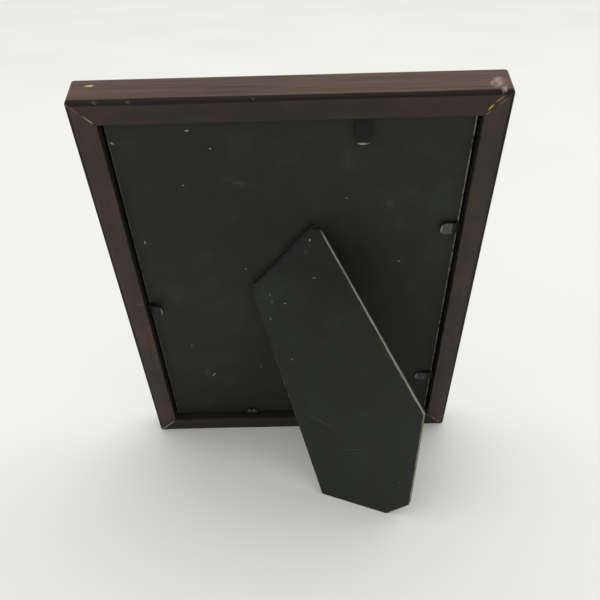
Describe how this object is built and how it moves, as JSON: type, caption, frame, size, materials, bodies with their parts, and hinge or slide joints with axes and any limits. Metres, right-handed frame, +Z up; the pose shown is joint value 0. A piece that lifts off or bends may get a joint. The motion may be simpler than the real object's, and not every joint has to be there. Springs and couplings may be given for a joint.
{
  "type": "coin display frame",
  "caption": "Mitred wooden tabletop display frame with glass, window mat and coin tray, standing on a diagonal easel strut at the back.",
  "frame": {"origin": "middle of the footprint on the desk, at desk height", "axes": "+Z up; the glass front faces -Y and leans back towards +Y; +X is the viewer's right from the front"},
  "size_m": [0.147, 0.0862, 0.1885],
  "materials": {
    "rail_wood": "satin dark mahogany stain",
    "brad_steel": "dull steel with putty",
    "glass": "clear",
    "mat_board": "matte cream card",
    "tray_flock": "flocked blue",
    "coin_metal": "toned nickel silver",
    "packing_card": "matte",
    "board_fibre": "raw hardboard edge",
    "facing_paper": "matte black",
    "hinge_cloth": "black book cloth",
    "strut_fibre": "raw hardboard edge",
    "strut_paper": "matte black",
    "tab_steel": "black lacquered steel"
  },
  "bodies": {
    "frame": {"top_rail": "rail_wood", "bottom_rail": "rail_wood", "left_stile": "rail_wood", "right_stile": "rail_wood", "corner_brads": "brad_steel", "glass_pane": "glass", "window_mat": "mat_board", "coin_tray": "tray_flock", "coin_1": "coin_metal", "coin_2": "coin_metal", "coin_3": "coin_metal", "coin_4": "coin_metal", "coin_5": "coin_metal", "coin_6": "coin_metal", "packing_card": "packing_card", "backing_board": "board_fibre", "board_facing": "facing_paper", "hinge_cloth_fixed": "hinge_cloth", "tab_anchors": "tab_steel"},
    "strut": {"strut_board": "strut_fibre", "strut_facing": "strut_paper", "hinge_cloth_moving": "hinge_cloth"},
    "tab_top": {"tab_top": "tab_steel"},
    "tab_right_upper": {"tab_right_upper": "tab_steel"},
    "tab_right_lower": {"tab_right_lower": "tab_steel"},
    "tab_left": {"tab_left": "tab_steel"},
    "tab_bottom": {"tab_bottom": "tab_steel"}
  },
  "joints": [
    {"name": "strut_fold", "type": "hinge", "parent": "frame", "child": "strut", "pos_m": [0.00488, 0.01236, 0.11364], "axis": [-0.6018, 0.2955, 0.7419], "range_deg": [0, 33]},
    {"name": "tab_top_bend", "type": "hinge", "parent": "frame", "child": "tab_top", "pos_m": [-0.025, 0.03738, 0.17605], "axis": [1, 0, 0], "range_deg": [-11.1, 73]},
    {"name": "tab_right_upper_bend", "type": "hinge", "parent": "frame", "child": "tab_right_upper", "pos_m": [-0.06425, 0.01805, 0.12751], "axis": [0, 0.3701, 0.929], "range_deg": [-9.7, 75]},
    {"name": "tab_right_lower_bend", "type": "hinge", "parent": "frame", "child": "tab_right_lower", "pos_m": [-0.06425, -0.01803, 0.03693], "axis": [0, 0.3701, 0.929], "range_deg": [-1.6, 83]},
    {"name": "tab_left_bend", "type": "hinge", "parent": "frame", "child": "tab_left", "pos_m": [0.06425, 0.00195, 0.08709], "axis": [0, -0.3701, -0.929], "range_deg": [-20.2, 65]},
    {"name": "tab_bottom_bend", "type": "hinge", "parent": "frame", "child": "tab_bottom", "pos_m": [0.025, -0.02904, 0.00929], "axis": [-1, 0, 0], "range_deg": [-11.4, 75]}
  ]
}
